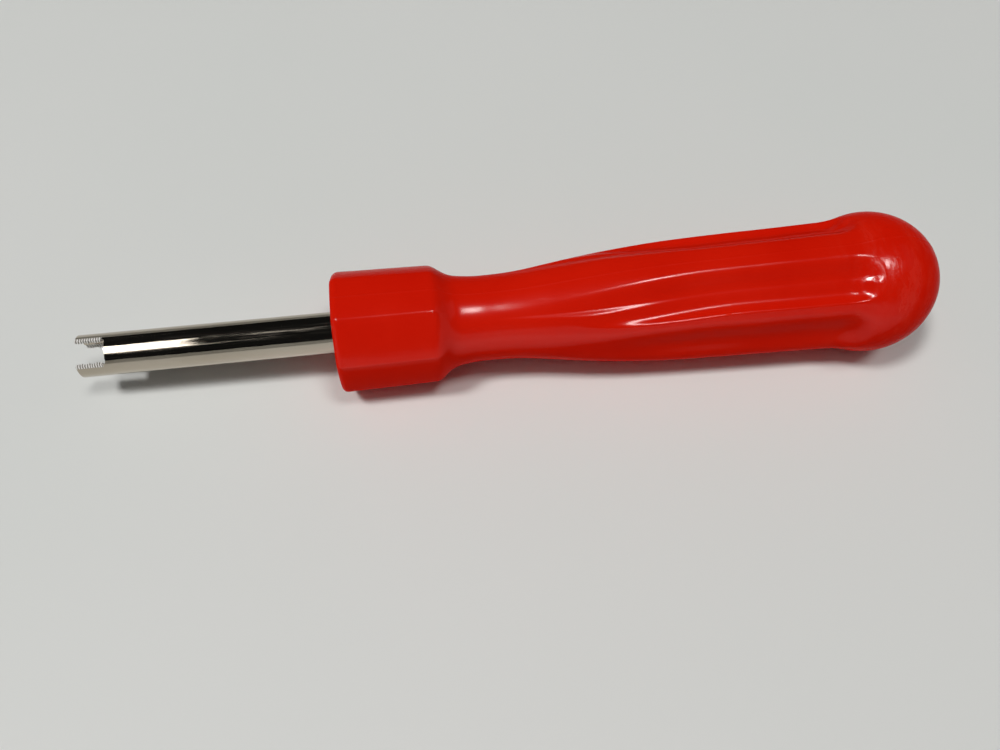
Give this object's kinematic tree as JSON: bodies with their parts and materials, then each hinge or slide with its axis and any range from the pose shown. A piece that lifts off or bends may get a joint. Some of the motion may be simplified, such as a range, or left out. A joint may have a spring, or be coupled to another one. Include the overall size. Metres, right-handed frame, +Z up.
{
  "type": "tyre valve core tool",
  "caption": "Hand tool with a slotted steel tube moulded into a fluted plastic handle, for screwing tyre valve cores in and out.",
  "frame": {"origin": "on the tool's axis, where the tube leaves the front face of the handle's collar", "axes": "+X along the tool's axis towards the handle's domed head, +Z up when the tool lies on one facet of its collar"},
  "size_m": [0.1065, 0.018, 0.018],
  "materials": {
    "handle": "gloss",
    "shaft": "polished"
  },
  "bodies": {
    "root": {"handle": "handle", "shaft": "shaft"}
  },
  "joints": []
}
